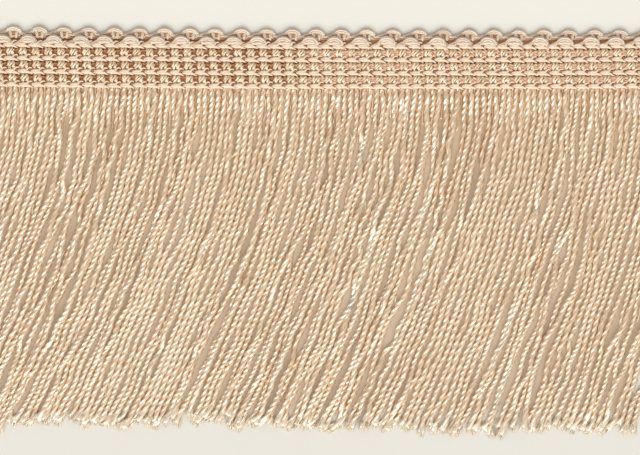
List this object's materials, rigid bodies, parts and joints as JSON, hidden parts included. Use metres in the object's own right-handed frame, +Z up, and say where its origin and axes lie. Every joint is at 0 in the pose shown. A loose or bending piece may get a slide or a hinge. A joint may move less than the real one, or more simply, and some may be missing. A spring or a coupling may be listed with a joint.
{
  "type": "cut fringe trim",
  "caption": "Length of trim: a knitted heading with chain stitches and looped edge over a long fringe of twisted strands, cut level and lying flat.",
  "frame": {"origin": "middle of the trim's bounding box, on the surface it lies on", "axes": "+X along the trim, +Y towards the looped edge, +Z up from the surface"},
  "size_m": [0.1633, 0.0785, 0.0026],
  "materials": {
    "fringe_yarn": "glossy twisted rayon-like yarn, golden tan",
    "chain_yarn": "smooth pale peach yarn",
    "loop_yarn": "soft satiny beige yarn",
    "ground_yarn": "soft matte tan yarn"
  },
  "bodies": {
    "root": {"braid_ground": "ground_yarn", "chain_row_1": "chain_yarn", "chain_row_2": "chain_yarn", "chain_row_3": "chain_yarn", "chain_row_4": "chain_yarn", "edge_loops_outer": "loop_yarn", "edge_loops_inner": "loop_yarn", "fringe": "fringe_yarn"}
  },
  "joints": []
}
